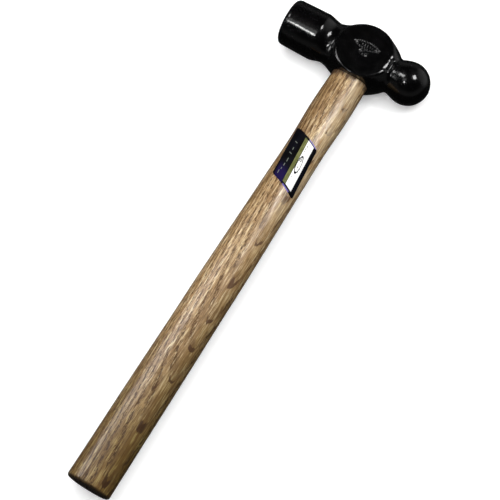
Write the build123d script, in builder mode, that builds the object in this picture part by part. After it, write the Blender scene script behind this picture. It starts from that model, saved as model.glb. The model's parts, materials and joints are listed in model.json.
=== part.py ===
from build123d import *
import math
import os

# Ball peen hammer, in millimetres, with its cheeks level. X is the head's axis, with the striking face
# at -X and the ball at +X. The handle runs along -Y. Z is up, from cheek to cheek. The origin is the
# centre of the lower cheek's flat, straight under the middle of the eye.

AXIS_HEIGHT = 13.0  # half the thickness over the cheeks, so also the height of the head's axis

# Head, along its axis from the middle of the eye
FACE_X = -53.8
FACE_RADIUS = 15.2
FACE_BEVEL = 1.8
POLL_BACK_X = -28.8
POLL_BACK_RADIUS = 15.7
NECK_X = -22.0
NECK_HALF_HEIGHT = 14.1  # along Y, the way the handle points
NECK_HALF_WIDTH = 12.0  # along Z, just below the cheeks
CHEEK_RADIUS = 18.3
CHEEK_ROUNDING = 0.9
BLOCK_HALF_LENGTH = 24.5
BLOCK_HALF_HEIGHT = 18.2
BLOCK_SQUARENESS = 2.6  # exponent of the block's superellipse: 2 is an ellipse
BLOCK_POINTS = 32
BALL_NECK_RADIUS = 10.8
BALL_X = 31.9
BALL_RADIUS = 13.9
POLL_BACK_ROUNDING = 1.5
NECK_FILLET = 3.0
BALL_FILLET = 3.0
BALL_JOINT_FILLET = 1.5

# Eye: it runs along Y and opens from its waist to both mouths. Each station is its place along Y, then
# its half length along X and half width along Z.
TENON_END_Y = 18.8
EYE_STATIONS = ((-20.0, (11.6, 8.2)), (-4.0, (11.2, 7.6)), (TENON_END_Y, (12.4, 8.8)))

# Handle: half width along X at each distance from the middle of the eye
HANDLE_STATIONS = (
    (14.0, 11.9),
    (26.0, 12.2),
    (42.0, 12.6),
    (62.0, 11.9),
    (88.0, 11.9),
    (125.0, 12.5),
    (160.0, 12.95),
    (205.0, 13.2),
    (255.0, 13.45),
    (312.0, 13.6),
)
HANDLE_SPANS = 24  # the handle is lofted through ovals this many even spans apart
HANDLE_THICKNESS_RATIO = 0.8
BUTT_ROUNDING = 2.0

# Wedges, driven in from the tenon's end
WOOD_WEDGE_DEPTH = 24.0
WOOD_WEDGE_THICKNESS = 3.0
WOOD_WEDGE_TIP = 0.8
STEEL_WEDGE_DEPTH = 15.0
STEEL_WEDGE_THICKNESS = 2.4
STEEL_WEDGE_TIP = 0.6
STEEL_WEDGE_WIDTH = 11.0
STEEL_WEDGE_SPACING = 11.0

# Label: a slanted sticker wrapped over the handle's upper side. Corners are seen from above.
LABEL_FILM = 0.15
LABEL_CORNERS = ((-10.3, -63.4), (7.9, -71.6), (9.9, -106.4), (-7.7, -98.2))

HEAD_PLANE = Plane.XY.offset(AXIS_HEIGHT)
HEAD_AXIS = Axis((0, 0, AXIS_HEIGHT), (1, 0, 0))


def across_head(x):
    """A plane square to the head's axis: its x is along Y, its y is along Z."""
    return Plane(origin=(x, 0, AXIS_HEIGHT), x_dir=(0, 1, 0), z_dir=(1, 0, 0))


def across_handle(y):
    """A plane square to the handle's line: its x is along X, its y is along Z."""
    return Plane(origin=(0, y, AXIS_HEIGHT), x_dir=(1, 0, 0), z_dir=(0, -1, 0))


def superellipse(half_length, half_height, squareness, count):
    """Points round a closed outline between an ellipse and a rectangle."""
    points = []
    for i in range(count):
        cosine = math.cos(2 * math.pi * i / count)
        sine = math.sin(2 * math.pi * i / count)
        x = math.copysign(abs(cosine) ** (2 / squareness), cosine)
        y = math.copysign(abs(sine) ** (2 / squareness), sine)
        points.append((half_length * x, half_height * y))
    return points


handle_profile = Spline(*HANDLE_STATIONS)
handle_ovals = [handle_profile @ (i / HANDLE_SPANS) for i in range(HANDLE_SPANS + 1)]
block_outline = superellipse(BLOCK_HALF_LENGTH, BLOCK_HALF_HEIGHT, BLOCK_SQUARENESS, BLOCK_POINTS)

# The head before its eye is punched
with BuildPart() as head_blank:
    with BuildSketch(HEAD_PLANE):
        with BuildLine():
            Polyline(
                (POLL_BACK_X, 0),
                (FACE_X, 0),
                (FACE_X, FACE_RADIUS - FACE_BEVEL),
                (FACE_X + FACE_BEVEL, FACE_RADIUS),
                (POLL_BACK_X, POLL_BACK_RADIUS),
                close=True,
            )
        make_face()
    revolve(axis=HEAD_AXIS)

    with BuildSketch(across_head(POLL_BACK_X)):
        Circle(POLL_BACK_RADIUS)
    with BuildSketch(across_head(NECK_X)):
        Ellipse(NECK_HALF_HEIGHT, NECK_HALF_WIDTH)
    with BuildSketch(across_head(-CHEEK_RADIUS / 2)):
        Ellipse(NECK_HALF_HEIGHT, NECK_HALF_WIDTH)
    loft()
    poll_back = head_blank.edges().filter_by(GeomType.CIRCLE).group_by(Axis.X)[-1]
    fillet(poll_back, POLL_BACK_ROUNDING)

    with BuildSketch(Plane.XY):
        Circle(CHEEK_RADIUS)
    with BuildSketch(HEAD_PLANE):
        with BuildLine():
            Spline(*block_outline, periodic=True)
        make_face()
    with BuildSketch(Plane.XY.offset(2 * AXIS_HEIGHT)):
        Circle(CHEEK_RADIUS)
    loft()
    neck_joint = head_blank.edges(Select.NEW).group_by(Axis.X)[0]
    fillet(neck_joint, NECK_FILLET)

    ball_start_x = BALL_X - math.sqrt(BALL_RADIUS**2 - BALL_NECK_RADIUS**2)
    with BuildSketch(HEAD_PLANE):
        with BuildLine():
            Polyline((BALL_X + BALL_RADIUS, 0), (0, 0), (0, BALL_NECK_RADIUS), (ball_start_x, BALL_NECK_RADIUS))
            ThreePointArc(
                (ball_start_x, BALL_NECK_RADIUS),
                (BALL_X, BALL_RADIUS),
                (BALL_X + BALL_RADIUS, 0),
            )
        make_face()
        neck_corner = vertices().filter_by_position(Axis.X, ball_start_x - 0.1, ball_start_x + 0.1)
        fillet(neck_corner, BALL_FILLET)
    revolve(axis=HEAD_AXIS)
    ball_joint = head_blank.edges(Select.NEW)
    fillet(ball_joint, BALL_JOINT_FILLET)
    cheek_rims = head_blank.faces().filter_by(Plane.XY).edges()
    fillet(cheek_rims, CHEEK_ROUNDING)

# The space inside the eye, which the handle's tenon fills
with BuildPart() as eye_core:
    for y, (half_length, half_width) in EYE_STATIONS:
        with BuildSketch(across_handle(y)):
            Ellipse(half_length, half_width)
    loft()

with BuildPart() as hammer_head:
    add(head_blank.part)
    add(eye_core.part, mode=Mode.SUBTRACT)
hammer_head.part.label = "hammer_head"

# Two steel wedges, across the eye
with BuildPart() as steel_wedges:
    half_end = STEEL_WEDGE_THICKNESS / 2
    half_tip = STEEL_WEDGE_TIP / 2
    with BuildSketch(HEAD_PLANE):
        with Locations((-STEEL_WEDGE_SPACING / 2, 0), (STEEL_WEDGE_SPACING / 2, 0)):
            Polygon(
                (-half_end, TENON_END_Y),
                (half_end, TENON_END_Y),
                (half_tip, TENON_END_Y - STEEL_WEDGE_DEPTH),
                (-half_tip, TENON_END_Y - STEEL_WEDGE_DEPTH),
                align=None,
            )
    extrude(amount=STEEL_WEDGE_WIDTH / 2, both=True)
steel_wedges.part.label = "steel_wedges"

# One wooden wedge, along the eye from wall to wall
with BuildPart() as wooden_wedge:
    half_end = WOOD_WEDGE_THICKNESS / 2
    half_tip = WOOD_WEDGE_TIP / 2
    with BuildSketch(across_head(0)):
        Polygon(
            (TENON_END_Y, -half_end),
            (TENON_END_Y, half_end),
            (TENON_END_Y - WOOD_WEDGE_DEPTH, half_tip),
            (TENON_END_Y - WOOD_WEDGE_DEPTH, -half_tip),
            align=None,
        )
    extrude(amount=CHEEK_RADIUS, both=True)
    add(eye_core.part, mode=Mode.INTERSECT)
    wedge_blank = wooden_wedge.part
    add(steel_wedges.part, mode=Mode.SUBTRACT)
wooden_wedge.part.label = "wooden_wedge"

with BuildPart() as shaft:
    for oval in handle_ovals:
        with BuildSketch(across_handle(-oval.X)):
            Ellipse(oval.Y, oval.Y * HANDLE_THICKNESS_RATIO)
    loft()
    butt_edge = shaft.faces().sort_by(Axis.Y)[0].edges()
    fillet(butt_edge, BUTT_ROUNDING)

with BuildPart() as handle:
    add(shaft.part)
    add(head_blank.part, mode=Mode.SUBTRACT)
    add(eye_core.part)
    add(wedge_blank, mode=Mode.SUBTRACT)
    add(steel_wedges.part, mode=Mode.SUBTRACT)
handle.part.label = "handle"

with BuildPart() as label:
    for oval in handle_ovals:
        with BuildSketch(across_handle(-oval.X)):
            Ellipse(oval.Y + LABEL_FILM, oval.Y * HANDLE_THICKNESS_RATIO + LABEL_FILM)
    loft()
    with BuildSketch(HEAD_PLANE):
        Polygon(*LABEL_CORNERS, align=None)
    extrude(amount=2 * AXIS_HEIGHT, mode=Mode.INTERSECT)
    add(shaft.part, mode=Mode.SUBTRACT)
label.part.label = "label"

os.makedirs("parts", exist_ok=True)
export_step(hammer_head.part, "parts/hammer_head.step")
export_step(handle.part, "parts/handle.step")
export_step(wooden_wedge.part, "parts/wooden_wedge.step")
export_step(steel_wedges.part, "parts/steel_wedges.step")
export_step(label.part, "parts/label.step")
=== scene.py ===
import json
import math
from functools import reduce

import bmesh
import bpy
import numpy as np
from mathutils import Matrix, Quaternion, Vector
from mathutils.bvhtree import BVHTree


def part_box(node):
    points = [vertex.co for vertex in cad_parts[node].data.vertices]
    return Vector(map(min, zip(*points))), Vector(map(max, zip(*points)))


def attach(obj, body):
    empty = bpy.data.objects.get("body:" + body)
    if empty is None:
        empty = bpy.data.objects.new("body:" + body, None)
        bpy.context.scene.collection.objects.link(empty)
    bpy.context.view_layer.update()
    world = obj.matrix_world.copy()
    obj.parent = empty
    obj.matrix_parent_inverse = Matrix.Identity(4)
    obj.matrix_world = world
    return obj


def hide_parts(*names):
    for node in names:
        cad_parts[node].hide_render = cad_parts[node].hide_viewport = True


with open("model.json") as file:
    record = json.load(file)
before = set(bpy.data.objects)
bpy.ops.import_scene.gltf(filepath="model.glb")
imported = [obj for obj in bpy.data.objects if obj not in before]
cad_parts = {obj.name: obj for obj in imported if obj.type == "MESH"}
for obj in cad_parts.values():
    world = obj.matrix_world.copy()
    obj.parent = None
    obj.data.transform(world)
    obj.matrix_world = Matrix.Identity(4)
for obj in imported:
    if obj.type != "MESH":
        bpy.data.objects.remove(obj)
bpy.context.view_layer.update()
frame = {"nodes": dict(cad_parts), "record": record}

# A ball peen hammer with its cheeks level, resting on its poll, its ball and its butt. X is the head's
# axis, with the striking face at -X and the ball at +X, and the handle runs along -Y. The shapes below are
# worked out in millimetres in the eye's frame, whose origin is the middle of the eye, and turned to metres
# in the row frame when a mesh is made.

MM = 0.001
MOUNTS = {mount["name"]: mount["pos_m"] for mount in frame["record"]["mounts"]}
AXIS_HEIGHT = MOUNTS["upper_cheek"][2] / 2 / MM
BUTT_Y = MOUNTS["butt_end"][1] / MM
TENON_END_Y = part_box("handle")[1].y / MM
EYE_CENTRE = Vector((0, 0, AXIS_HEIGHT * MM))

# The head's shape, in millimetres
FACE_X = MOUNTS["striking_face"][0] / MM
FACE_RADIUS = 15.2
FACE_BEVEL = 1.8
FACE_ROUNDING = 0.9
POLL_BACK_X = -28.8
POLL_BACK_RADIUS = 15.7
POLL_BACK_ROUNDING = 2.0
NECK_X = -21.5
NECK_HALF_HEIGHT = 14.0
NECK_HALF_WIDTH = 12.0
NECK_FILLET = 3.2
CHEEK_FILLET = 0.4  # what is left of the neck's fillet close to the cheeks
CHEEK_RADIUS = 18.3
CHEEK_ROUNDING = 1.15
BLOCK_HALF_LENGTH = 24.5
BLOCK_HALF_HEIGHT = 18.2
BLOCK_SQUARENESS = 2.6
BALL_NECK_RADIUS = 10.8
BALL_X = 31.9
BALL_RADIUS = 13.88
BALL_FILLET = 3.0
BALL_JOINT_FILLET = 1.8
EYE_ROUNDING = 0.5
EYE_LENGTHS = ((-20.0, 11.6), (-4.0, 11.2), (18.8, 12.4))  # at each place along Y, its half length along X
EYE_WIDTHS = ((-20.0, 8.2), (-4.0, 7.6), (18.8, 8.8))  # and its half width along Z
HEAD_VOXEL = 0.48
HEAD_INSET = 0.08  # keeps the unevenness inside the CAD head
HEAD_UNEVENNESS = ((0.035, 9, 3), (0.006, 3.5, 4))  # height, wavelength and seed of each layer

# The mark stamped on the upper cheek: a long oval of pips, with a rosette below its middle
MARK_OVAL_CENTRE = (0.2, 3.0)
MARK_OVAL_HALVES = (8.8, 2.7)
MARK_OVAL_PIPS = 26
MARK_ROSE_CENTRE = (0.3, -1.6)
MARK_ROSE_RADIUS = 2.7
MARK_ROSE_RAYS = 7
MARK_STUDS = ((-7.0, 2.8, 1.15), (6.2, 3.0, 1.25), (2.3, -3.4, 0.95), (-2.3, -1.5, 0.9))  # x, y, radius
MARK_DEPTH = 0.2
MARK_RELIEF = 0.4
MARK_REACH = ((0.2, 0.8), (9.8, 6.4))  # the middle and half sizes of the finer mesh round the mark
MARK_CUTS = 3  # new points along each edge of that mesh

# Where the upper cheek's rim was struck down beside the ball
DENT_START = 16.1  # how far out on the cheek it begins
DENT_OUTER_FADE = (CHEEK_RADIUS + 2.2, CHEEK_RADIUS + 0.8)  # how far out it is gone, and still whole
DENT_MIDDLE_Y = -0.9
DENT_END_FADE = (6.0, 3.5)  # how far from its middle it is gone, and still whole
DENT_RAGGEDNESS = 0.2
DENT_DEPTH = 0.66

# The handle
HANDLE_SIDES = 160
RING_STEP = 1.5
BUTT_ROUNDING = 2.0
BUTT_CROWN = 0.25
SHAFT_INSET = 0.05  # keeps most of the wobble inside the CAD handle
SHAFT_WOBBLE = 0.06
SHOULDER_Y = -18.0
SHOULDER_OVERLAP = 0.25  # how far the shaft runs into the head before it narrows to the tenon
TENON_GAP = 0.04
END_GRAIN_DEPTH = 0.16
END_GRAIN_RELIEF = 0.1
RAY_START = 0.05  # metres from the handle's middle, well outside it

# The wedges: half thickness at the driven end and at the tip, and half width there
STEEL_WEDGE_PLACES = (-5.5, 5.5)
STEEL_WEDGE_HALVES = (1.2, 0.3)
STEEL_WEDGE_WIDTHS = (5.5, 5.5)
WOOD_WEDGE_HALVES = (1.5, 0.4)
WOOD_WEDGE_WIDTHS = (12.1, 11.0)
KERF_WIDTHS = (14.0, 14.0)
WEDGE_GAP = 0.05
WEDGE_SIDES = 96
WEDGE_SQUARENESS = 0.2  # exponent of its section: 1 is an ellipse, and 0 a rectangle
WEDGE_BRUISE = 0.1  # how deep the hammer marked its end

# The oak's growth rings, across the handle
PITH = (-29.0, -46.4)
RING_SPACING = 1.9
RING_LEAN = 0.075  # how far a ring climbs towards the head for each millimetre
RING_SHIFT = 0.05
RING_TIPS = (8.4, 7.7)  # the flank where rings run out in V and U shapes
RINGS_CROWD = (-190, -243, -305)  # along Y: where they start to shift, shift most, and are back
RINGS_CROWD_SHIFT = 11

# The oak's broad shades, most of them painted light and shade: where each one is gone, and where it is full
# Darker towards the butt: partly a handled grip, partly painted shade where the light falls off along the
# handle
GRIP_WEAR_AND_SHADE_Y = (-170, -300)
# Painted shade on the left flank close to the head
PAINTED_HEAD_SHADE_Y, PAINTED_HEAD_SHADE_X = (-125, -60), (2, -9)
# Painted highlight: a pale streaky strip right of the ridge close to the head, standing in for a lamp's
# sheen
PAINTED_RIDGE_HIGHLIGHT_Y, PAINTED_RIDGE_HIGHLIGHT_X = (-150, -95), (0, 5.5)
# Painted shade on the right flank along the middle of the handle
PAINTED_FLANK_SHADE_Y, PAINTED_FLANK_SHADE_X = (-120, -220), (3, 12)
# A darker band where the handle runs into the head
HEAD_JOIN_DARK_Y = (-23, -17)
# A darker band over the butt's rounded end
BUTT_END_DARK_Y = (BUTT_Y + 2.4, BUTT_Y + 0.8)

# The label, as seen from above: its corner nearest the poll and the head, and its two edges from there
LABEL_CORNER = Vector((-10.3, -63.4))
LABEL_ACROSS = Vector((18.2, -8.2))
LABEL_ALONG = Vector((2.6, -34.8))
LABEL_FILM = 0.15
LABEL_UNDERSIDE = 0.01  # above the wood
LABEL_COLUMNS = 48
LABEL_ROWS = 72
LABEL_ROUNDING = 0.035  # of its corners, as a share of its length
LABEL_ROUNDING_STRETCH = 1.9  # about how much more that is as a share of its width

# Its print, as shares of its width and length: low and high across, then low and high along
LABEL_STRIPE = (0.46, 0.585, 0.04, 0.95)
LABEL_PANEL = (0.6, 0.865, 0.035, 0.94)
# The violet lines at the film's two ends are painted glints, where its cut edges catch the light, not print
LABEL_GLINT_EDGES = ((0.62, 0.95, -0.02, 0.016), (0.5, 0.8, 0.975, 1.02))
LABEL_STROKES = (
    (0.19, 0.29, 0.236, 0.25),
    (0.235, 0.262, 0.35, 0.4),
    (0.19, 0.29, 0.465, 0.48),
    (0.25, 0.274, 0.57, 0.645),
    (0.225, 0.25, 0.69, 0.745),
    (0.2, 0.222, 0.79, 0.83),
    (0.16, 0.182, 0.86, 0.93),
)
LABEL_DASHES = (
    (0.645, 0.675, 0.12, 0.15),
    (0.635, 0.665, 0.17, 0.2),
    (0.64, 0.665, 0.23, 0.25),
    (0.595, 0.612, 0.44, 0.62),
    (0.645, 0.66, 0.74, 0.78),
    (0.64, 0.655, 0.83, 0.86),
)
LABEL_DOTS = ((0.69, 0.544), (0.77, 0.54), (0.71, 0.635), (0.755, 0.6))
LABEL_RING = (0.66, 0.405)
LABEL_OVAL = (0.69, 0.495, 1.75, 6.2)  # its middle in shares, then its half sizes in millimetres

# Colours
PAINT_COLOURS = ((0.0006, 0.0006, 0.0007), (0.0013, 0.0013, 0.0014))
# Worn paint; on the mark's raised tops it is also a painted glint for the relief's sparkle
PAINT_WORN_AND_GLINT = (0.075, 0.074, 0.071)
OAK_COLOURS = ((0.29, 0.165, 0.06), (0.42, 0.275, 0.125))
OAK_EARLY_WOOD = (0.22, 0.115, 0.038)
OAK_DARK_FIBRE = (0.17, 0.09, 0.028)
OAK_PALE_FIBRE = (0.66, 0.52, 0.3)
OAK_PORE = (0.07, 0.028, 0.004)
OAK_RING_TIP = (0.085, 0.034, 0.011)
# The colour of the painted highlight right of the ridge
OAK_PAINTED_HIGHLIGHT = (0.68, 0.56, 0.37)
# The darker band where the handle runs into the head
OAK_HEAD_JOIN_DARK = (0.04, 0.02, 0.009)
# The darker band over the butt's rounded end
OAK_BUTT_END_DARK = (0.02, 0.012, 0.006)
# The grip's darkening: partly handling, partly painted shade
OAK_GRIP_WEAR_AND_SHADE = (0.46, 0.42, 0.25)
# The painted shade by the head
OAK_PAINTED_HEAD_SHADE = (0.66, 0.58, 0.5)
# The painted shade on the right flank
OAK_PAINTED_FLANK_SHADE = (0.6, 0.6, 0.5)
WEDGE_WOOD_COLOURS = ((0.17, 0.085, 0.035), (0.36, 0.21, 0.1))
WEDGE_WOOD_PORE = (0.06, 0.03, 0.015)
STEEL_COLOURS = ((0.3, 0.29, 0.28), (0.46, 0.45, 0.44))
STEEL_RUST = (0.16, 0.07, 0.03)
FILM_COLOURS = ((0.001, 0.0008, 0.0014), (0.0025, 0.0025, 0.005))
FILM_VIOLET = (0.01, 0.005, 0.05)
PRINT_STROKE = (0.22, 0.25, 0.2)
PRINT_OLIVES = ((0.1, 0.105, 0.032), (0.16, 0.16, 0.062))
PRINT_WHITE = (0.93, 0.93, 0.9)
# Painted glints at the film's two ends
PAINTED_EDGE_GLINTS = ((0.3, 0.24, 0.6), (0.13, 0.1, 0.36))
PRINT_BLACK = (0.006, 0.006, 0.008)

# The camera's aim, on the plane through the head's axis, and its place
CAMERA_TARGET = (4.797, -144.78)
CAMERA_AZIMUTH = 29.281
CAMERA_ELEVATION = 69.039
CAMERA_ROLL = 1.682
CAMERA_DISTANCE = 825.4
CAMERA_LENS = 101.03
CAMERA_SENSOR = 36

# The studio
FLOOR_GLOW = 0.25
FAR_GLOW = 0.96  # the floor's glow and the backdrop's, where the lights hardly reach
FLOOR_REACH = 6.0  # metres
FLOOR_GLOW_FADE = (0.5, 2.2)  # metres
FLOOR_CELLS = 24
BACKDROP_REACH = 5.6  # metres
BACKDROP_HEIGHTS = (-1.0, 3.5)  # metres
BACKDROP_SIDES = 96
AMBIENT_LIGHT = 0.012
HORIZON_LIGHT = 0.08
HORIZON_RISE = (-0.2, 0.0)  # in the height of a direction
HORIZON_FALL = (0.15, 0.5)
WALL_LIGHT = 0.3
WALL_DIRECTION = Vector((0.62, 0.76, 0.2)).normalized()
WALL_SPREAD = (0.78, 0.97)  # cosines of the angle from that direction
SOFTBOXES = {
    "left_softbox": dict(place=(-455, 10, 700), size=(200, 260), power=1.3),
    "poll_softbox": dict(place=(-215, -405, 700), size=(200, 130), power=0.011, aim=(-42, -8, 14), grid=12),
    "faint_softbox": dict(place=(-205, -215, 700), size=(170, 240), power=0.15),
    "right_softbox": dict(place=(285, 250, 700), size=(250, 210), power=2.1),
    "handle_softbox": dict(place=(-260, -192, 190), size=(260, 65), power=0.052, aim=(0, -187, 15), grid=55),
    "overhead_fill": dict(place=(0, -150, 1600), size=(2400, 2400), power=36.5, mirrored=False),
}


# ------------ meshes


def add_object(name, data):
    """A new object in the scene."""
    made = bpy.data.objects.new(name, data)
    bpy.context.scene.collection.objects.link(made)
    return made


def make_piece(name, points, faces):
    """A smooth-shaded mesh object from points in millimetres in the eye's frame."""
    mesh = bpy.data.meshes.new(name)
    placed = np.asarray(points, float) * MM + np.array(EYE_CENTRE)
    mesh.from_pydata(placed.tolist(), [], [tuple(int(i) for i in face) for face in faces])
    mesh.update()
    mesh.shade_smooth()
    return add_object(name, mesh)


def points_of(mesh):
    """The mesh's points in millimetres in the eye's frame."""
    flat = np.empty(len(mesh.vertices) * 3)
    mesh.vertices.foreach_get("co", flat)
    return (flat.reshape(-1, 3) - np.array(EYE_CENTRE)) / MM


def set_points(mesh, points):
    mesh.vertices.foreach_set("co", (points * MM + np.array(EYE_CENTRE)).ravel())
    mesh.update()


def loft_faces(ring_count, sides):
    """Quads between neighbouring rings, and a fan at each end to its own middle point."""
    faces = []
    for ring in range(ring_count - 1):
        for side in range(sides):
            after = (side + 1) % sides
            low, high = ring * sides, (ring + 1) * sides
            faces.append((low + side, low + after, high + after, high + side))
    first_middle = ring_count * sides
    last_ring = (ring_count - 1) * sides
    for side in range(sides):
        after = (side + 1) % sides
        faces.append((first_middle, after, side))
        faces.append((first_middle + 1, last_ring + side, last_ring + after))
    return faces


def smooth_step(low, high, value):
    t = np.clip((value - low) / (high - low), 0, 1)
    return t * t * (3 - 2 * t)


def unevenness(points, wavelength, seed, waves=14):
    """Smooth wobble between about -1 and 1, made of sine waves in random directions."""
    random = np.random.default_rng(seed)
    total = np.zeros(len(points))
    for _ in range(waves):
        direction = random.normal(size=3)
        direction *= 2 * math.pi / (wavelength * random.uniform(0.7, 1.6) * np.linalg.norm(direction))
        total += np.sin(points @ direction + random.uniform(0, 2 * math.pi))
    return total / math.sqrt(waves) / 1.4


# ------------ the head's surface


def round_union(a, b, radius):
    """Distance to two shapes joined with a fillet."""
    inner = np.hypot(np.maximum(radius - a, 0), np.maximum(radius - b, 0))
    return np.maximum(radius, np.minimum(a, b)) - inner


def round_meet(a, b, radius):
    """Distance to what two shapes share, with its edge rounded."""
    outer = np.hypot(np.maximum(radius + a, 0), np.maximum(radius + b, 0))
    return np.minimum(-radius, np.maximum(a, b)) + outer


def oval_distance(u, v, half_u, half_v):
    """Distance, near its surface, to an elliptical cylinder."""
    k = np.hypot(u / half_u, v / half_v)
    slope = np.hypot(u / half_u**2, v / half_v**2)
    return (k - 1) * k / np.maximum(slope, 1e-6)


def eye_halves(y):
    """The eye's half length along X and half width along Z at a place along Y."""
    half_length = np.polyval(np.polyfit(*zip(*EYE_LENGTHS), 2), y)
    half_width = np.polyval(np.polyfit(*zip(*EYE_WIDTHS), 2), y)
    return half_length, half_width


def eye_distance(points):
    x, y, z = points.T
    return oval_distance(x, z, *eye_halves(y))


def dome(x, y, centre_x, centre_y, radius):
    """A round bump one high, flattening towards its top."""
    return np.maximum(1 - ((x - centre_x) ** 2 + (y - centre_y) ** 2) / radius**2, 0)


def mark_relief(x, y):
    """How far the stamped mark raises or sinks the cheek."""
    oval_x = (x - MARK_OVAL_CENTRE[0]) / MARK_OVAL_HALVES[0]
    oval_y = (y - MARK_OVAL_CENTRE[1]) / MARK_OVAL_HALVES[1]
    rose_x, rose_y = x - MARK_ROSE_CENTRE[0], y - MARK_ROSE_CENTRE[1]
    rose = np.hypot(rose_x, rose_y) / MARK_ROSE_RADIUS
    sunk = np.maximum(smooth_step(1.05, 0.95, np.hypot(oval_x, oval_y)), smooth_step(1.1, 0.95, rose))
    raised = np.zeros(len(x))
    for i in range(MARK_OVAL_PIPS):
        angle = 2 * math.pi * i / MARK_OVAL_PIPS
        pip_x = MARK_OVAL_CENTRE[0] + 0.9 * MARK_OVAL_HALVES[0] * math.cos(angle)
        pip_y = MARK_OVAL_CENTRE[1] + 0.8 * MARK_OVAL_HALVES[1] * math.sin(angle)
        raised = np.maximum(raised, dome(x, y, pip_x, pip_y, 0.5))
    bars = smooth_step(0.2, 0.8, np.sin(2 * math.pi * x / 1.7 + 1.2 * oval_y))
    bars = bars * smooth_step(0.55, 0.4, np.hypot(oval_x, 1.25 * oval_y))
    turn = np.arctan2(rose_y, rose_x)
    rays = smooth_step(0.1, 0.8, np.cos(MARK_ROSE_RAYS * turn)) * smooth_step(0.25, 0.4, rose)
    rays = rays * smooth_step(0.9, 0.75, rose)
    raised = np.maximum(raised, np.maximum(0.8 * bars, 0.8 * rays))
    for stud in MARK_STUDS:
        raised = np.maximum(raised, dome(x, y, *stud))
    return MARK_RELIEF * raised - MARK_DEPTH * sunk


def poll_distance(x, y, z):
    """Distance to the poll and its neck, which ends at the middle of the eye."""
    radius = np.hypot(y, z)
    taper = (POLL_BACK_RADIUS - FACE_RADIUS) / (POLL_BACK_X - FACE_X)
    side = radius - FACE_RADIUS - taper * (x - FACE_X)
    bevel = (radius - FACE_RADIUS + FACE_X + FACE_BEVEL - x) / math.sqrt(2)
    poll = round_meet(round_meet(side, bevel, FACE_ROUNDING), FACE_X - x, FACE_ROUNDING)

    flare = np.maximum(NECK_X - x, 0) ** 2 / (NECK_X - POLL_BACK_X) ** 2
    half_height = NECK_HALF_HEIGHT + (POLL_BACK_RADIUS - NECK_HALF_HEIGHT) * flare
    half_width = NECK_HALF_WIDTH + (POLL_BACK_RADIUS - NECK_HALF_WIDTH) * flare
    neck = oval_distance(y, z, half_height, half_width)
    return np.maximum(round_meet(poll, neck, POLL_BACK_ROUNDING), x)


def block_distance(x, y, z):
    """Distance to the block round the eye, whose outline turns from a squarish oval to the round cheeks."""
    reach = np.maximum(np.hypot(x, y), 1e-6)
    middle = (np.abs(x / reach / BLOCK_HALF_LENGTH) ** BLOCK_SQUARENESS
              + np.abs(y / reach / BLOCK_HALF_HEIGHT) ** BLOCK_SQUARENESS) ** (-1 / BLOCK_SQUARENESS)
    height = np.clip(np.abs(z) / AXIS_HEIGHT, 0, 1)
    wall_reach = CHEEK_RADIUS + (middle - CHEEK_RADIUS) * (1 - height**2)
    lean = 2 * (middle - CHEEK_RADIUS) * height / AXIS_HEIGHT
    wall = (reach - wall_reach) / np.hypot(1, lean)
    return round_meet(wall, np.abs(z) - AXIS_HEIGHT, CHEEK_ROUNDING)


def ball_distance(x, y, z):
    """Distance to the ball and its neck, which starts at the middle of the eye."""
    radius = np.hypot(y, z)
    neck = np.maximum(np.maximum(radius - BALL_NECK_RADIUS, -x), x - BALL_X)
    ball = np.sqrt((x - BALL_X) ** 2 + radius**2) - BALL_RADIUS
    return round_union(neck, ball, BALL_FILLET)


def dent_depth(points):
    """How far the upper cheek's rim is struck down beside the ball."""
    x, y, z = points.T
    reach = np.maximum(np.hypot(x, y), 1e-6)
    ragged = DENT_RAGGEDNESS * unevenness(points, 2.4, seed=6)
    dent = np.clip((reach + ragged - DENT_START) / (CHEEK_RADIUS - DENT_START), 0, 1.1)
    dent = dent * smooth_step(*DENT_END_FADE, np.abs(y - DENT_MIDDLE_Y))
    dent = dent * smooth_step(*DENT_OUTER_FADE, reach)
    return DENT_DEPTH * dent * np.where((x > 0) & (z > 0), 1, 0)


def head_distance(points):
    """Distance, near its surface, to the head. It is negative inside."""
    x, y, z = points.T
    thinning = smooth_step(AXIS_HEIGHT - 1, AXIS_HEIGHT - 6, np.abs(z))
    neck_fillet = CHEEK_FILLET + (NECK_FILLET - CHEEK_FILLET) * thinning
    head = round_union(poll_distance(x, y, z), block_distance(x, y, z), neck_fillet)
    head = round_union(head, ball_distance(x, y, z), BALL_JOINT_FILLET)
    head = round_meet(head, -eye_distance(points), EYE_ROUNDING)
    uneven = sum(size * unevenness(points, wavelength, seed) for size, wavelength, seed in HEAD_UNEVENNESS)
    inward = smooth_step(0, 0.4, BALL_RADIUS + BALL_X - x)
    head = head + (HEAD_INSET + uneven) * inward
    return head + dent_depth(points) - np.where(z > 0, mark_relief(x, y), 0)


def pull_to_head(points, rounds):
    """Moves each point onto the head's surface, along the surface's own normal."""
    step = 0.01  # for measuring the slope
    longest = 0.5  # move in one round
    for _ in range(rounds):
        here = head_distance(points)
        slope = np.stack([
            (head_distance(points + offset) - head_distance(points - offset)) / (2 * step)
            for offset in np.eye(3) * step
        ], axis=1)
        move = slope * (here / np.maximum((slope**2).sum(1), 0.05))[:, None]
        length = np.linalg.norm(move, axis=1)[:, None]
        points = points - move * np.minimum(1, longest / np.maximum(length, 1e-9))
    return points


def relaxed(points, edges):
    """Each point moved halfway to the middle of its neighbours."""
    total = np.zeros_like(points)
    count = np.zeros(len(points))
    for a, b in (edges.T, edges.T[::-1]):
        np.add.at(total, a, points[b])
        np.add.at(count, a, 1)
    return (points + total / np.maximum(count, 1)[:, None]) / 2


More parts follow.
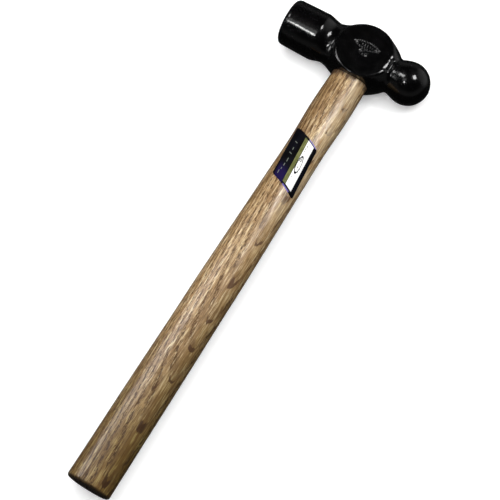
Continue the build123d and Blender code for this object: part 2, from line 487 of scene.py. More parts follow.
def remeshed_head():
    """The CAD head's mesh, made again of small even quads."""
    rough = add_object("rough_head", frame["nodes"]["hammer_head"].data.copy())
    remesh = rough.modifiers.new("remesh", "REMESH")
    remesh.mode = "VOXEL"
    remesh.voxel_size = HEAD_VOXEL * MM
    depsgraph = bpy.context.evaluated_depsgraph_get()
    mesh = bpy.data.meshes.new_from_object(rough.evaluated_get(depsgraph))
    bpy.data.objects.remove(rough)
    mesh.name = "forged_head"
    return mesh


def refine_mark(mesh, points):
    """Cuts the mesh finer round the stamped mark."""
    (middle_x, middle_y), (half_x, half_y) = MARK_REACH
    near = np.hypot((points[:, 0] - middle_x) / half_x, (points[:, 1] - middle_y) / half_y) < 1
    near &= points[:, 2] > AXIS_HEIGHT / 2
    bm = bmesh.new()
    bm.from_mesh(mesh)
    fine = [edge for edge in bm.edges if near[edge.verts[0].index] and near[edge.verts[1].index]]
    bmesh.ops.subdivide_edges(bm, edges=fine, cuts=MARK_CUTS, use_grid_fill=True)
    bm.to_mesh(mesh)
    bm.free()


def make_head():
    """The forged head, remeshed finely and drawn onto its rounded surface."""
    mesh = remeshed_head()
    edges = np.empty(len(mesh.edges) * 2, int)
    mesh.edges.foreach_get("vertices", edges)
    edges = edges.reshape(-1, 2)
    points = pull_to_head(points_of(mesh), 4)
    for _ in range(3):
        points = pull_to_head(relaxed(points, edges), 2)
    set_points(mesh, points)
    refine_mark(mesh, points)
    set_points(mesh, pull_to_head(points_of(mesh), 4))
    mesh.shade_smooth()
    return add_object("forged_head", mesh)


# ------------ the handle


class Handle:
    """The CAD handle's outline: its half sizes along X and Z at any place along Y."""

    def __init__(self):
        node = frame["nodes"]["handle"]
        polygons = [tuple(polygon.vertices) for polygon in node.data.polygons]
        self.tree = BVHTree.FromPolygons([vertex.co for vertex in node.data.vertices], polygons)
        self.places = np.arange(BUTT_Y + BUTT_ROUNDING + 0.5, SHOULDER_Y - 2.5, 3.0)
        widths = np.array([self.half_size(y, (1, 0, 0)) for y in self.places])
        heights = np.array([self.half_size(y, (0, 0, 1)) for y in self.places])
        self.width_curve = self.even(widths)
        self.height_curve = self.even(heights)

    def half_size(self, y, direction):
        outward = Vector(direction)
        start = EYE_CENTRE + Vector((0, y * MM, 0)) + outward * RAY_START
        hit = self.tree.ray_cast(start, -outward)[0]
        return (hit - EYE_CENTRE).dot(outward) / MM

    def even(self, values):
        """The same values with the facets of the CAD mesh smoothed out."""
        padded = np.concatenate([values[:1], values[:1], values, values[-1:], values[-1:]])
        return np.convolve(padded, [0.1, 0.2, 0.4, 0.2, 0.1], mode="valid")

    def halves(self, y):
        return np.interp(y, self.places, self.width_curve), np.interp(y, self.places, self.height_curve)

    def top(self, x, y, lift=0.0):
        """Height of the handle's upper surface at a point seen from above, lifted along its normal."""
        half_width, half_height = (half + lift for half in self.halves(y))
        return half_height * np.sqrt(np.maximum(1 - (x / half_width) ** 2, 0))


def oval_ring(y, half_width, half_height):
    angle = np.arange(HANDLE_SIDES) / HANDLE_SIDES * 2 * math.pi
    places = np.broadcast_to(y, angle.shape)
    return np.stack([half_width * np.cos(angle), places, half_height * np.sin(angle)], axis=1)


def shoulder_places(handle):
    """Where the shaft's surface runs into the head, round the shaft."""
    halves = handle.halves(SHOULDER_Y - 4)
    found = np.full(HANDLE_SIDES, SHOULDER_Y)
    reached = np.zeros(HANDLE_SIDES, bool)
    for y in np.arange(SHOULDER_Y - 3, SHOULDER_Y + 4, 0.05):
        inside = head_distance(oval_ring(y, *halves)) < -SHOULDER_OVERLAP
        found[inside & ~reached] = y
        reached |= inside
    return found


def butt_rings(handle):
    """Rings over the butt's crowned end and round its edge."""
    half_width, half_height = handle.halves(BUTT_Y)
    flat_width, flat_height = half_width - BUTT_ROUNDING, half_height - BUTT_ROUNDING
    rings = []
    for share in np.linspace(0.06, 1, 14):
        rings.append(oval_ring(BUTT_Y + BUTT_CROWN * share**2, share * flat_width, share * flat_height))
    for turn in np.linspace(0, math.pi / 2, 10)[1:]:
        inset = BUTT_ROUNDING * (1 - math.sin(turn))
        y = BUTT_Y + BUTT_CROWN + (BUTT_ROUNDING - BUTT_CROWN) * (1 - math.cos(turn))
        rings.append(oval_ring(y, half_width - inset, half_height - inset))
    return rings


def shaft_rings(handle):
    """Rings along the shaft, which near the head follow the line where the shaft meets it."""
    shoulder = shoulder_places(handle)
    rings = []
    for y in np.arange(BUTT_Y + BUTT_ROUNDING + RING_STEP, SHOULDER_Y, RING_STEP):
        shift = (shoulder - SHOULDER_Y) * smooth_step(SHOULDER_Y - 12, SHOULDER_Y, y)
        rings.append(oval_ring(y + shift, *handle.halves(y)))
    return rings + [oval_ring(shoulder, *handle.halves(SHOULDER_Y))]


def tenon_rings():
    """Rings through the eye and over the tenon's end."""
    rings = []
    for y in np.arange(SHOULDER_Y + 0.5, TENON_END_Y - 0.4, RING_STEP):
        rings.append(oval_ring(y, *(half - TENON_GAP for half in eye_halves(y))))
    for share in (1.0, 0.985, 0.9, 0.75, 0.6, 0.45, 0.3, 0.15, 0.05):
        y = TENON_END_Y - (0.3 if share == 1 else 0)
        rings.append(oval_ring(y, *(share * half for half in eye_halves(y))))
    return rings


def hand_shaped(points):
    """The handle's points with a slight wobble along the shaft and uneven end grain on the tenon."""
    shaft = smooth_step(BUTT_Y + 1, BUTT_Y + 12, points[:, 1]) * smooth_step(-24, -40, points[:, 1])
    wobble = SHAFT_WOBBLE * unevenness(points * [1, 0.35, 1], 14, seed=8) * shaft
    outward = points * [1, 0, 1]
    outward /= np.maximum(np.linalg.norm(outward, axis=1), 1e-6)[:, None]
    points = points - outward * (SHAFT_INSET * shaft + wobble)[:, None]
    end_grain = smooth_step(TENON_END_Y - 0.4, TENON_END_Y, points[:, 1])
    points[:, 1] -= end_grain * (END_GRAIN_DEPTH + END_GRAIN_RELIEF * unevenness(points, 2.5, seed=10))
    return points


def make_handle(handle):
    """The oak handle from its butt to the tenon's end, as one closed skin."""
    rings = butt_rings(handle) + shaft_rings(handle) + tenon_rings()
    middles = np.array([(0, BUTT_Y, 0), (0, TENON_END_Y, 0)])
    points = hand_shaped(np.concatenate(rings + [middles]))
    return make_piece("oak_handle", points, loft_faces(len(rings), HANDLE_SIDES))


def wedge_box(tip_y, halves, widths, place_x=0.0, along_x=False, gap=0.0):
    """The eight corners and six faces of a wedge, run past the tenon's end to cut a slot for it."""
    points = []
    for y, half, width in ((tip_y - gap, halves[1], widths[1]), (TENON_END_Y + 1, halves[0], widths[0])):
        for thick in (-half - gap, half + gap):
            for wide in (-width - gap, width + gap):
                points.append((wide, y, thick) if along_x else (place_x + thick, y, wide))
    faces = [(0, 1, 3, 2), (4, 6, 7, 5), (0, 4, 5, 1), (2, 3, 7, 6), (0, 2, 6, 4), (1, 5, 7, 3)]
    return points, faces if along_x else [face[::-1] for face in faces]


def cut(piece, shapes):
    """Cuts closed shapes out of a piece, leaving the cuts' edges crisp."""
    for points, faces in shapes:
        cutter = make_piece("cutter", points, faces)
        modifier = piece.modifiers.new("cut", "BOOLEAN")
        modifier.object = cutter
        modifier.solver = "EXACT"
        mesh = bpy.data.meshes.new_from_object(piece.evaluated_get(bpy.context.evaluated_depsgraph_get()))
        piece.modifiers.clear()
        piece.data = mesh
        bpy.data.objects.remove(cutter)
    piece.data.shade_smooth()
    piece.data.set_sharp_from_angle(angle=math.radians(40))


def make_wedge(name, tip_y, halves, widths, seed, place_x=0.0, along_x=False):
    """A wedge with softened edges and an end roughened by the hammer."""
    angle = np.arange(WEDGE_SIDES) / WEDGE_SIDES * 2 * math.pi
    across = np.sign(np.cos(angle)) * np.abs(np.cos(angle)) ** WEDGE_SQUARENESS
    along = np.sign(np.sin(angle)) * np.abs(np.sin(angle)) ** WEDGE_SQUARENESS
    depth = TENON_END_Y - tip_y
    stations = [(0, 0.5), (0.01, 0.9)] + [(share, 1) for share in np.linspace(0.02, 0.97, 24)]
    stations += [(0.985, 0.985), (0.994, 0.95), (0.997, 0.85), (0.997, 0.6), (0.997, 0.35), (0.997, 0.12)]
    rings = []
    for share, size in stations:
        half = size * np.interp(share, (0, 1), halves[::-1])
        width = np.interp(share, (0, 1), widths[::-1]) - (1 - size) * halves[0]
        ring = np.stack([half * across, np.full(WEDGE_SIDES, tip_y + share * depth), width * along], axis=1)
        rings.append(ring)
    middles = np.array([(0, tip_y, 0), (0, tip_y + stations[-1][0] * depth, 0)])
    points = np.concatenate(rings + [middles])
    bruise = WEDGE_BRUISE * np.clip(unevenness(points, 2.2, seed) + 0.6, 0, 2)
    points[:, 1] -= bruise * smooth_step(0.9, 1.0, (points[:, 1] - tip_y) / depth)
    faces = loft_faces(len(rings), WEDGE_SIDES)
    if along_x:
        points = points[:, [2, 1, 0]]
    else:
        faces = [face[::-1] for face in faces]
        points[:, 0] += place_x
    return make_piece(name, points, faces)


def make_wedges(handle_piece):
    """Wedges the handle's tenon: one wooden wedge along the eye, and two steel wedges across it."""
    steel_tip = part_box("steel_wedges")[0].y / MM
    wood_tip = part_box("wooden_wedge")[0].y / MM
    slots = [
        wedge_box(steel_tip, STEEL_WEDGE_HALVES, STEEL_WEDGE_WIDTHS, place, gap=WEDGE_GAP)
        for place in STEEL_WEDGE_PLACES
    ]
    kerf = wedge_box(wood_tip, WOOD_WEDGE_HALVES, KERF_WIDTHS, along_x=True, gap=WEDGE_GAP)
    cut(handle_piece, [kerf, *slots])
    sizes = (WOOD_WEDGE_HALVES, WOOD_WEDGE_WIDTHS)
    wooden = make_wedge("wooden_wedge_bar", wood_tip, *sizes, seed=11, along_x=True)
    cut(wooden, slots)
    place_piece(wooden, wedge_wood_material(), "wooden_wedge")
    steel = steel_material()
    sizes = (STEEL_WEDGE_HALVES, STEEL_WEDGE_WIDTHS)
    for place, side in zip(STEEL_WEDGE_PLACES, ("poll", "ball")):
        wedge = make_wedge("steel_wedge_by_" + side, steel_tip, *sizes, seed=20 + int(place), place_x=place)
        place_piece(wedge, steel, "steel_wedges")


def label_layer(handle, lift):
    """A grid of points over the label, lifted off the handle, with rounded corners."""
    grid = np.empty((LABEL_ROWS + 1, LABEL_COLUMNS + 1, 3))
    for row in range(LABEL_ROWS + 1):
        along = row / LABEL_ROWS
        near_end = max(LABEL_ROUNDING - min(along, 1 - along), 0)
        inset = LABEL_ROUNDING_STRETCH * (LABEL_ROUNDING - math.sqrt(LABEL_ROUNDING**2 - near_end**2))
        across = np.linspace(inset, 1 - inset, LABEL_COLUMNS + 1)
        x = LABEL_CORNER.x + across * LABEL_ACROSS.x + along * LABEL_ALONG.x
        y = LABEL_CORNER.y + across * LABEL_ACROSS.y + along * LABEL_ALONG.y
        grid[row] = np.stack([x, y, handle.top(x, y, lift)], axis=1)
    return grid.reshape(-1, 3)


def label_faces():
    """The faces of the film's two sides and of its edge, for an upper and a lower layer of points."""
    width = LABEL_COLUMNS + 1
    count = (LABEL_ROWS + 1) * width
    faces = []
    for row in range(LABEL_ROWS):
        for column in range(LABEL_COLUMNS):
            a = row * width + column
            faces.append((a, a + width, a + width + 1, a + 1))
            faces.append((count + a, count + a + 1, count + a + width + 1, count + a + width))
    border = list(range(LABEL_COLUMNS))
    border += [row * width + LABEL_COLUMNS for row in range(LABEL_ROWS)]
    border += [LABEL_ROWS * width + column for column in range(LABEL_COLUMNS, 0, -1)]
    border += [row * width for row in range(LABEL_ROWS, 0, -1)]
    for here, after in zip(border, border[1:] + border[:1]):
        faces.append((here, after, count + after, count + here))
    return faces


def make_label(handle):
    """The film label: a slanted patch that follows the handle's upper side."""
    layers = [label_layer(handle, lift) for lift in (LABEL_FILM, LABEL_UNDERSIDE)]
    label = make_piece("film_label", np.concatenate(layers), label_faces())
    uv_map = label.data.uv_layers.new(name="print")
    points = points_of(label.data)[:, :2] - np.array(LABEL_CORNER)
    plan = np.linalg.solve(np.array([LABEL_ACROSS, LABEL_ALONG]).T, points.T).T
    for loop in label.data.loops:
        uv_map.data[loop.index].uv = plan[loop.vertex_index]
    return label


# ------------ materials


class Material:
    """One material's node tree around a Principled shader, with short ways to add nodes."""

    def __init__(self, name):
        self.material = bpy.data.materials.new(name)
        self.material.use_nodes = True
        self.tree = self.material.node_tree
        self.shader = self.tree.nodes["Principled BSDF"]

    def node(self, kind, inputs=(), **settings):
        made = self.tree.nodes.new(kind)
        for key, value in settings.items():
            setattr(made, key, value)
        for key, value in dict(inputs).items():
            self.join(value, made.inputs[key])
        return made

    def join(self, value, socket):
        if isinstance(value, bpy.types.NodeSocket):
            self.tree.links.new(value, socket)
        else:
            socket.default_value = value

    def math(self, operation, a, b=0.0, clamp=False):
        return self.node("ShaderNodeMath", {0: a, 1: b}, operation=operation, use_clamp=clamp).outputs[0]

    def product(self, *values):
        return reduce(lambda a, b: self.math("MULTIPLY", a, b), values)

    def largest(self, *values):
        return reduce(lambda a, b: self.math("MAXIMUM", a, b), values)

    def split(self, vector):
        """The vector's three coordinates."""
        return self.node("ShaderNodeSeparateXYZ", {0: vector}).outputs

    def place(self):
        """Millimetres from the middle of the eye."""
        place = self.node("ShaderNodeTexCoord").outputs["Object"]
        shifted = self.node("ShaderNodeVectorMath", {0: place, 1: tuple(-EYE_CENTRE)}, operation="ADD")
        inputs = {0: shifted.outputs[0], "Scale": 1 / MM}
        return self.node("ShaderNodeVectorMath", inputs, operation="SCALE").outputs[0]

    def stretched(self, vector, grains):
        """The vector in units of a grain's length along each axis."""
        scale = tuple(1 / grain for grain in grains)
        return self.node("ShaderNodeVectorMath", {0: vector, 1: scale}, operation="MULTIPLY").outputs[0]

    def noise(self, vector, grains=(1, 1, 1), detail=2.0, roughness=0.5):
        vector = self.stretched(vector, grains)
        made = self.node("ShaderNodeTexNoise", {"Vector": vector, "Scale": 1.0, "Detail": detail,
                                                "Roughness": roughness})
        return made.outputs["Fac"]

    def distance(self, u, v, middle):
        """How far (u, v) is from a fixed middle."""
        squares = [self.math("POWER", self.math("SUBTRACT", a, b), 2) for a, b in zip((u, v), middle)]
        return self.math("SQRT", self.math("ADD", *squares))

    def darkened(self, colour, share, tint):
        """The colour, with part of it multiplied by a tint."""
        return self.mix(share, colour, self.mix(1.0, colour, tint, "MULTIPLY"))

    def between(self, value, low, high, to_low=0.0, to_high=1.0, smooth=True):
        kind = "SMOOTHSTEP" if smooth else "LINEAR"
        inputs = {"Value": value, "From Min": low, "From Max": high, "To Min": to_low, "To Max": to_high}
        return self.node("ShaderNodeMapRange", inputs, interpolation_type=kind).outputs["Result"]

    def mix(self, factor, a, b, blend="MIX"):
        made = self.node("ShaderNodeMix", data_type="RGBA", blend_type=blend)
        self.join(factor, made.inputs["Factor"])
        for socket, value in zip(made.inputs[6:8], (a, b)):
            self.join(value if isinstance(value, bpy.types.NodeSocket) else (*value, 1), socket)
        return made.outputs[2]

    def bump(self, height, distance, strength=1.0, normal=None):
        inputs = {"Height": height, "Distance": distance * MM, "Strength": strength}
        if normal is not None:
            inputs["Normal"] = normal
        return self.node("ShaderNodeBump", inputs).outputs["Normal"]

    def finish(self, **sockets):
        for name, value in sockets.items():
            socket = self.shader.inputs[name.replace("_", " ")]
            if isinstance(value, tuple) and len(value) == 3:
                value = (*value, 1)
            self.join(value, socket)
        return self.material


def paint_material():
    """Glossy black paint over a forging: an orange-peel skin, scuffed on the face, and worn lighter on the
    mark's raised tops, which also serves as a painted glint.
    """
    m = Material("black_paint")
    place = m.place()
    x, y, z = m.split(place)
    cloud = m.noise(place, (7, 7, 7), 3)
    speck = m.noise(place, (0.7, 0.7, 0.7), 2)
    colour = m.mix(m.between(cloud, 0.35, 0.7), *PAINT_COLOURS)

    at_face = m.between(x, FACE_X + 2.6, FACE_X + 0.6)
    scuffs = m.between(m.noise(place, (1.4, 1.4, 1.4), 4), 0.55, 0.75)
    (middle_x, middle_y), (half_x, half_y) = MARK_REACH
    middle = (middle_x / half_x, middle_y / half_y)
    from_mark = m.distance(m.math("DIVIDE", x, half_x), m.math("DIVIDE", y, half_y), middle)
    above_cheek = m.between(z, AXIS_HEIGHT + 0.02, AXIS_HEIGHT + 0.1)
    # The mark's raised tops: worn paint, and a painted glint standing in for the sparkle of its relief
    mark_wear_and_glint = m.product(m.between(from_mark, 1.05, 0.95), above_cheek)
    colour = m.mix(m.largest(m.product(at_face, scuffs, 0.2), mark_wear_and_glint), colour, PAINT_WORN_AND_GLINT)

    roughness = m.between(cloud, 0.3, 0.7, 0.2, 0.3)
    roughness = m.math("ADD", roughness, m.between(speck, 0.55, 0.75, 0, 0.1))
    skin = m.bump(m.noise(place, (1.7, 1.7, 1.7), 2), 0.045)
    skin = m.bump(speck, 0.02, normal=skin)
    return m.finish(Base_Color=colour, Roughness=roughness, Normal=skin, Specular_IOR_Level=0.15,
                    Coat_Weight=1.0, Coat_Roughness=0.07, Coat_Normal=skin)


def oak_rings(m, place):
    """How far each point is through its own growth ring, from 0 to 1."""
    x, y, z = m.split(place)
    bend = m.between(m.noise(place, (30, 90, 30), 2), 0.25, 0.75, -0.4, 0.4, smooth=False)
    jitter = m.between(m.noise(place, (1.5, 9, 1.5), 2), 0.25, 0.75, -0.12, 0.12, smooth=False)
    first, most, last = RINGS_CROWD
    crowded = m.product(m.between(y, first, most, 0, RINGS_CROWD_SHIFT), m.between(y, last, most))
    along = m.math("SUBTRACT", y, crowded)
    ring = m.math("ADD", m.distance(x, z, PITH), m.product(along, RING_LEAN))
    ring = m.math("ADD", m.math("ADD", ring, bend), m.math("ADD", jitter, RING_SHIFT))
    return m.math("FRACT", m.math("DIVIDE", ring, RING_SPACING))


def oak_fibres(m, place, fibre, phase):
    """The colour of the wood between its pores."""
    streak = m.noise(place, (2.6, 60, 2.6), 3)
    early = m.product(m.between(phase, 0.0, 0.1), m.between(phase, 0.6, 0.25))
    wood = m.mix(m.between(streak, 0.3, 0.7), *OAK_COLOURS)
    wood = m.mix(m.product(early, 0.25), wood, OAK_EARLY_WOOD)
    wood = m.mix(m.between(fibre, 0.5, 0.62, 0, 0.8), wood, OAK_DARK_FIBRE)
    return m.mix(m.between(fibre, 0.47, 0.36, 0, 0.85), wood, OAK_PALE_FIBRE)


def oak_pores(m, place, phase, from_tips):
    """Where the pores are: dashes crowded along one edge of each ring, and a few anywhere."""
    line = m.product(m.between(phase, 0.0, 0.03), m.between(phase, 0.46, 0.34))
    fine = m.noise(place, (0.38, 3.6, 0.38), 1)
    dashes = m.between(m.noise(place, (1.3, 3.0, 1.3), 1), 0.38, 0.45)
    crowd = m.product(dashes, line, m.between(fine, 0.43, 0.49))
    pores = m.largest(crowd, m.between(fine, 0.58, 0.64, 0, 0.8))
    return m.product(pores, m.between(from_tips, 2.5, 5, 0.3, 1))


def oak_ring_tips(m, place, phase, from_tips):
    """Where the dark V and U shapes are, on the flank where rings run out."""
    line = m.product(m.between(phase, 0.0, 0.02), m.between(phase, 0.1, 0.07))
    filled = m.between(m.noise(place, (12, 12, 12), 0), 0.54, 0.46)
    fill = m.product(m.between(phase, 0.2, 0.16), filled)
    return m.product(m.largest(line, fill), m.between(from_tips, 2.6, 1.9))


def oak_tones_and_painted_light(m, place, wood):
    """The broad changes of colour: a grip end darker partly from handling and partly as painted shade,
    painted shade on the left flank by the head, a painted highlight right of the ridge by the head, painted
    shade on the right flank, and darker bands where the handle meets the head and over the butt's end.
    """
    x, y, _ = m.split(place)
    blotch = m.between(m.noise(place, (14, 60, 14), 2), 0.3, 0.7, 0.85, 1.1)
    # Darker towards the butt: partly handling, partly painted shade
    grip_wear_and_shade = m.math("MULTIPLY", m.between(y, *GRIP_WEAR_AND_SHADE_Y), blotch, clamp=True)
    wood = m.darkened(wood, grip_wear_and_shade, OAK_GRIP_WEAR_AND_SHADE)
    # Painted shade on the left flank close to the head
    painted_head_shade = m.product(m.between(y, *PAINTED_HEAD_SHADE_Y), m.between(x, *PAINTED_HEAD_SHADE_X), 0.8)
    wood = m.darkened(wood, painted_head_shade, OAK_PAINTED_HEAD_SHADE)
    streaks = m.between(m.noise(place, (1.6, 16, 1.6), 2), 0.38, 0.56)
    # Painted highlight: pale streaks right of the ridge close to the head
    painted_highlight = m.product(m.between(y, *PAINTED_RIDGE_HIGHLIGHT_Y), m.between(x, *PAINTED_RIDGE_HIGHLIGHT_X), streaks, 0.35)
    wood = m.mix(painted_highlight, wood, OAK_PAINTED_HIGHLIGHT)
    # Painted shade on the right flank
    painted_flank_shade = m.product(m.between(y, *PAINTED_FLANK_SHADE_Y), m.between(x, *PAINTED_FLANK_SHADE_X), 0.7)
    wood = m.darkened(wood, painted_flank_shade, OAK_PAINTED_FLANK_SHADE)
    # A darker band where the handle runs into the head
    ragged_y = m.math("ADD", y, m.between(m.noise(place, (4, 6, 4), 3), 0.3, 0.7, -2.5, 2.5))
    join_dark = m.product(m.between(ragged_y, *HEAD_JOIN_DARK_Y, 0, 0.85), m.between(y, 8, -8))
    wood = m.mix(join_dark, wood, OAK_HEAD_JOIN_DARK)
    # A darker band over the butt's rounded end
    return m.mix(m.between(y, *BUTT_END_DARK_Y, 0, 0.85), wood, OAK_BUTT_END_DARK)


def oak_material():
    """White oak: growth rings edged with dashed pores, streaky fibres, and a grip end darker partly from
    handling and partly as painted shade.
    """
    m = Material("white_oak")
    place = m.place()
    x, _, z = m.split(place)
    phase = oak_rings(m, place)
    from_tips = m.distance(x, z, RING_TIPS)
    fibre = m.noise(place, (0.9, 13, 0.9), 3, 0.6)
    pores = oak_pores(m, place, phase, from_tips)
    wood = oak_fibres(m, place, fibre, phase)
    wood = m.mix(m.product(pores, 0.9), wood, OAK_PORE)
    wood = m.mix(m.product(oak_ring_tips(m, place, phase, from_tips), 0.9), wood, OAK_RING_TIP)
    wood = oak_tones_and_painted_light(m, place, wood)

    roughness = m.between(fibre, 0.35, 0.65, 0.3, 0.5)
    roughness = m.math("ADD", roughness, m.product(pores, 0.25))
    grain = m.bump(m.math("SUBTRACT", m.product(fibre, 1.6), m.product(pores, 0.8)), 0.1)
    return m.finish(Base_Color=wood, Roughness=roughness, Normal=grain,
                    Coat_Weight=0.8, Coat_Roughness=0.17, Coat_Normal=grain)


def wedge_wood_material():
    """A darker hardwood wedge, its fibres along the wedge."""
    m = Material("wedge_hardwood")
    place = m.place()
    fibre = m.noise(place, (0.5, 9, 0.35), 3)
    pores = m.between(m.noise(place, (0.2, 0.6, 0.2), 2), 0.58, 0.7, 0, 0.7)
    colour = m.mix(m.between(fibre, 0.3, 0.7), *WEDGE_WOOD_COLOURS)
    colour = m.mix(pores, colour, WEDGE_WOOD_PORE)
    roughness = m.between(fibre, 0.3, 0.7, 0.55, 0.75)
    return m.finish(Base_Color=colour, Roughness=roughness, Normal=m.bump(fibre, 0.08))


def steel_material():
    """Rolled steel wedges with hammer marks and a little rust."""
    m = Material("wedge_steel")
    place = m.place()
    scratch = m.noise(place, (0.15, 2.5, 0.8), 3)
    rust = m.between(m.noise(place, (1.3, 1.3, 1.3), 4), 0.5, 0.68)
    colour = m.mix(m.between(scratch, 0.3, 0.7), *STEEL_COLOURS)
    colour = m.mix(m.product(rust, 0.6), colour, STEEL_RUST)
    roughness = m.math("ADD", m.between(scratch, 0.3, 0.7, 0.3, 0.45), m.product(rust, 0.3))
    metallic = m.math("SUBTRACT", 1.0, m.product(rust, 0.8))
    dents = m.bump(m.noise(place, (1.1, 1.1, 1.1), 2), 0.12)
    dents = m.bump(scratch, 0.02, normal=dents)
    return m.finish(Base_Color=colour, Roughness=roughness, Metallic=metallic, Normal=dents)


class Print:
    """Shapes on the label, as shares of its width and length."""

    def __init__(self, m):
        self.m = m
        plan = m.node("ShaderNodeUVMap", uv_map="print").outputs[0]
        self.across, self.along, _ = m.split(plan)

    def band(self, value, low, high, soft=0.006):
        rise = self.m.between(value, low - soft, low + soft)
        return self.m.product(rise, self.m.between(value, high + soft, high - soft))

    def patch(self, low_across, high_across, low_along, high_along):
        return self.m.product(self.band(self.across, low_across, high_across),
                              self.band(self.along, low_along, high_along))

    def away(self, middle_across, middle_along, width=1.0, length=1.0):
        """Distance from a point of the label, in millimetres or in an oval's half sizes."""
        u = self.m.math("SUBTRACT", self.across, middle_across)
        v = self.m.math("SUBTRACT", self.along, middle_along)
        u = self.m.product(u, LABEL_ACROSS.length / width)
        v = self.m.product(v, LABEL_ALONG.length / length)
        return self.m.distance(u, v, (0, 0))


def label_material():
    """The label's print: a dark panel with pale strokes, an olive stripe and a white panel with an oval."""
    m = Material("label_print")
    printed = Print(m)
    place = m.place()
    tint = m.noise(place, (6, 9, 6), 2)
    colour = m.mix(m.between(tint, 0.4, 0.65), *FILM_COLOURS)
    violet = printed.band(printed.across, 0.08, 0.45, 0.05)
    violet = m.product(m.between(printed.along, 0.66, 0.86), violet, 0.9)
    colour = m.mix(violet, colour, FILM_VIOLET)
    strokes = m.largest(*[printed.patch(*stroke) for stroke in LABEL_STROKES])
    colour = m.mix(m.product(strokes, 0.7), colour, PRINT_STROKE)

    olive = m.mix(m.between(m.noise(place, (1, 3, 1), 2), 0.35, 0.65), *PRINT_OLIVES)
    colour = m.mix(printed.patch(*LABEL_STRIPE), colour, olive)
    colour = m.mix(printed.patch(*LABEL_PANEL), colour, PRINT_WHITE)
    # Painted glints: violet lines where the film's ends catch the light
    for edge, glint_tone in zip(LABEL_GLINT_EDGES, PAINTED_EDGE_GLINTS):
        colour = m.mix(printed.patch(*edge), colour, glint_tone)

    oval = printed.away(*LABEL_OVAL)
    ring = printed.away(*LABEL_RING)
    marks = [printed.band(oval, 0.8, 1.02, 0.04)]
    marks += [printed.band(ring, 0.7, 1.15, 0.08), m.between(ring, 0.4, 0.25)]
    marks += [m.between(printed.away(*dot), 0.5, 0.3) for dot in LABEL_DOTS]
    marks += [printed.patch(*dash) for dash in LABEL_DASHES]
    colour = m.mix(m.largest(*marks), colour, PRINT_BLACK)

    roughness = m.between(m.noise(place, (3, 3, 3), 2), 0.3, 0.7, 0.4, 0.5)
    film = m.bump(m.noise(place, (2.5, 2.5, 2.5), 2), 0.02)
    return m.finish(Base_Color=colour, Roughness=roughness, Normal=film, Specular_IOR_Level=0.06)


# ------------ studio


def stage_object(name, bm, material):
    """Part of the studio, which reflections and bounced light don't see."""
    mesh = bpy.data.meshes.new(name)
    bm.to_mesh(mesh)
    bm.free()
    mesh.materials.append(material)
    made = add_object(name, mesh)
    made.visible_glossy = False
    made.visible_diffuse = False
    return made


def floor_material():
    """A matt white that gives off light of its own, and more of it where the lights hardly reach."""
    m = Material("pale_floor")
    place = m.node("ShaderNodeTexCoord").outputs["Object"]
    x, y, _ = m.split(place)
    cloud = m.noise(place, (0.3, 0.3, 0.3), 2)
    glow = m.between(m.distance(x, y, (0, 0)), *FLOOR_GLOW_FADE, FLOOR_GLOW, FAR_GLOW)
    colour = m.mix(m.between(cloud, 0.3, 0.7), (0.91, 0.91, 0.91), (0.93, 0.93, 0.93))
    return m.finish(Base_Color=colour, Roughness=0.9, Specular_IOR_Level=0.1,
                    Emission_Color=(1, 1, 1), Emission_Strength=glow)


def make_floor(handle):
    """A pale floor that touches the poll, the ball and the butt, where the hammer rests."""
    poll = Vector((POLL_BACK_X, 0, -POLL_BACK_RADIUS))
    ball = Vector((BALL_X, 0, -BALL_RADIUS))
    butt = Vector((0, BUTT_Y + BUTT_ROUNDING, -handle.halves(BUTT_Y)[1]))
    upward = (butt - poll).cross(ball - poll).normalized()
    bm = bmesh.new()
    bmesh.ops.create_grid(bm, x_segments=FLOOR_CELLS, y_segments=FLOOR_CELLS, size=FLOOR_REACH)
    floor = stage_object("floor", bm, floor_material())
    turn = upward.to_track_quat("Z", "Y").to_matrix().to_4x4()
    floor.matrix_world = Matrix.Translation(poll * MM + EYE_CENTRE) @ turn


def make_backdrop():
    """A pale wall far round the floor. Only the camera sees it, so it lights nothing."""
    bm = bmesh.new()
    rings = []
    turns = [2 * math.pi * i / BACKDROP_SIDES for i in range(BACKDROP_SIDES)]
    circle = [(BACKDROP_REACH * math.cos(turn), BACKDROP_REACH * math.sin(turn)) for turn in turns]
    for height in BACKDROP_HEIGHTS:
        rings.append([bm.verts.new((x, y, height)) for x, y in circle])
    for i in range(BACKDROP_SIDES):
        after = (i + 1) % BACKDROP_SIDES
        bm.faces.new((rings[0][after], rings[0][i], rings[1][i], rings[1][after]))
    m = Material("pale_backdrop")
    m.finish(Base_Color=(0.9, 0.9, 0.9), Roughness=0.9, Emission_Color=(1, 1, 1), Emission_Strength=FAR_GLOW)
    backdrop = stage_object("backdrop", bm, m.material)
    backdrop.visible_shadow = False


def add_softbox(name, place, size, power, aim=(0, -100, 0), mirrored=True, grid=None):
    """A soft light aimed at a point, both in millimetres from the middle of the eye. A grid narrows it."""
    light = bpy.data.lights.new(name, "AREA")
    light.shape = "RECTANGLE"
    light.size, light.size_y = (side * MM for side in size)
    light.energy = power
    if grid:
        light.spread = math.radians(grid)
    lamp = add_object(name, light)
    lamp.location = Vector(place) * MM + EYE_CENTRE
    direction = Vector(aim) - Vector(place)
    lamp.rotation_mode = "QUATERNION"
    lamp.rotation_quaternion = direction.to_track_quat("-Z", "Y")
    lamp.visible_glossy = mirrored
    lamp.visible_camera = False


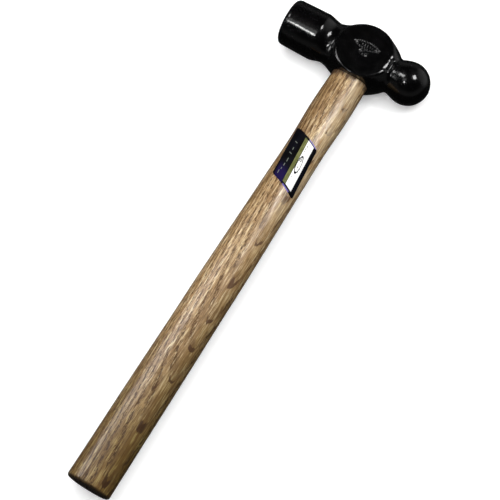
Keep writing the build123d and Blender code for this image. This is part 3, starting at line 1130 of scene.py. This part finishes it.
def make_world():
    """A dim studio: a faint band round the horizon, and a pale wall behind the ball's side."""
    world = bpy.data.worlds.new("studio")
    world.use_nodes = True
    bpy.context.scene.world = world
    tree = world.node_tree

    def ramp(value, low, high, to_low, to_high):
        made = tree.nodes.new("ShaderNodeMapRange")
        made.interpolation_type = "SMOOTHSTEP"
        for name, number in zip(("From Min", "From Max", "To Min", "To Max"), (low, high, to_low, to_high)):
            made.inputs[name].default_value = number
        tree.links.new(value, made.inputs["Value"])
        return made.outputs["Result"]

    def combined(operation, a, b):
        made = tree.nodes.new("ShaderNodeMath")
        made.operation = operation
        tree.links.new(a, made.inputs[0])
        tree.links.new(b, made.inputs[1])
        return made.outputs[0]

    direction = tree.nodes.new("ShaderNodeTexCoord").outputs["Generated"]
    split = tree.nodes.new("ShaderNodeSeparateXYZ")
    tree.links.new(direction, split.inputs[0])
    height = split.outputs["Z"]
    facing = tree.nodes.new("ShaderNodeVectorMath")
    facing.operation = "DOT_PRODUCT"
    facing.inputs[1].default_value = WALL_DIRECTION
    tree.links.new(direction, facing.inputs[0])
    rise = ramp(height, *HORIZON_RISE, 0, HORIZON_LIGHT)
    band = combined("MULTIPLY", rise, ramp(height, *HORIZON_FALL, 1, 0))
    wall = ramp(facing.outputs["Value"], *WALL_SPREAD, AMBIENT_LIGHT, WALL_LIGHT)
    tree.links.new(combined("ADD", band, wall), tree.nodes["Background"].inputs["Strength"])
    tree.nodes["Background"].inputs["Color"].default_value = (1, 1, 1, 1)


def add_camera():
    azimuth, elevation = math.radians(CAMERA_AZIMUTH), math.radians(CAMERA_ELEVATION)
    flat = math.cos(elevation)
    back = Vector((math.sin(azimuth) * flat, -math.cos(azimuth) * flat, math.sin(elevation)))
    camera = add_object("camera", bpy.data.cameras.new("camera"))
    camera.data.lens = CAMERA_LENS
    camera.data.sensor_width = CAMERA_SENSOR
    camera.location = Vector((*CAMERA_TARGET, 0)) * MM + EYE_CENTRE + back * CAMERA_DISTANCE * MM
    camera.rotation_mode = "QUATERNION"
    level = (-back).to_track_quat("-Z", "Y")
    camera.rotation_quaternion = level @ Quaternion((0, 0, 1), math.radians(CAMERA_ROLL))
    bpy.context.scene.camera = camera


def place_piece(piece, material, node):
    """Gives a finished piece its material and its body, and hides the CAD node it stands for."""
    piece.data.materials.clear()
    piece.data.materials.append(material)
    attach(piece, "root")
    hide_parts(node)


add_camera()
outline = Handle()
place_piece(make_head(), paint_material(), "hammer_head")
oak_handle = make_handle(outline)
make_wedges(oak_handle)
place_piece(oak_handle, oak_material(), "handle")
place_piece(make_label(outline), label_material(), "label")
make_floor(outline)
make_backdrop()
make_world()
for box_name, settings in SOFTBOXES.items():
    add_softbox(box_name, **settings)
bpy.context.scene.view_settings.view_transform = "Standard"
